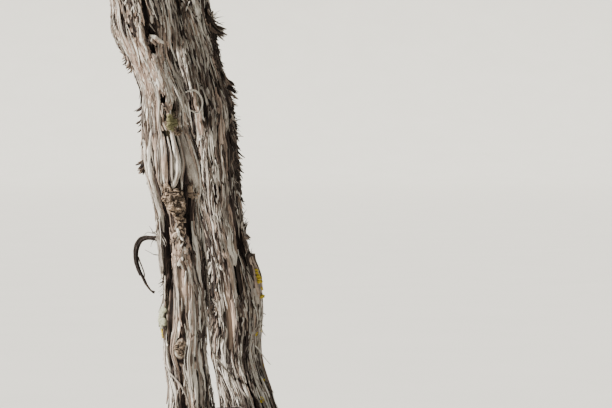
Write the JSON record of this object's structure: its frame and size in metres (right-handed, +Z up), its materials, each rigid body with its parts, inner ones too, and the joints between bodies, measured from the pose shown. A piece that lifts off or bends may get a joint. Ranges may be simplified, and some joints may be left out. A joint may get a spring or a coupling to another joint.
{
  "type": "leafless twin-stemmed grapevine",
  "caption": "Old pruned grapevine in winter: shaggy stems lean side by side out of a shared rootstock, each with a head of curved arms and bare canes.",
  "frame": {"origin": "middle of the flat cut under the main stem, at ground level", "axes": "+Z up, +X to the viewer's right, and -Y towards the viewer, so the second stem stands left of the main stem and nearer"},
  "size_m": [0.8579, 0.8098, 1.4124],
  "materials": {
    "old_bark": "dry, grey-brown, fibrous bark that peels in long strips, rough all over",
    "cane_bark": "smooth orange-brown bark of one-year canes, finely grooved along, satin",
    "cut_wood": "bare wood and pruning cuts, dry, with fine rings",
    "lichen": "crusts and tufts of yellow and grey-green lichen, matt"
  },
  "bodies": {
    "root": {"main_stem": "old_bark", "second_stem": "old_bark", "root_saddle": "old_bark", "arm_right": "old_bark", "arm_back_right": "old_bark", "arm_back_left": "old_bark", "arm_left": "old_bark", "arm_front_left": "old_bark", "arm_front_right": "old_bark", "canes_right": "cane_bark", "canes_back_right": "cane_bark", "canes_back_left": "cane_bark", "canes_left": "cane_bark", "canes_front_left": "cane_bark", "canes_front_right": "cane_bark"}
  },
  "joints": []
}
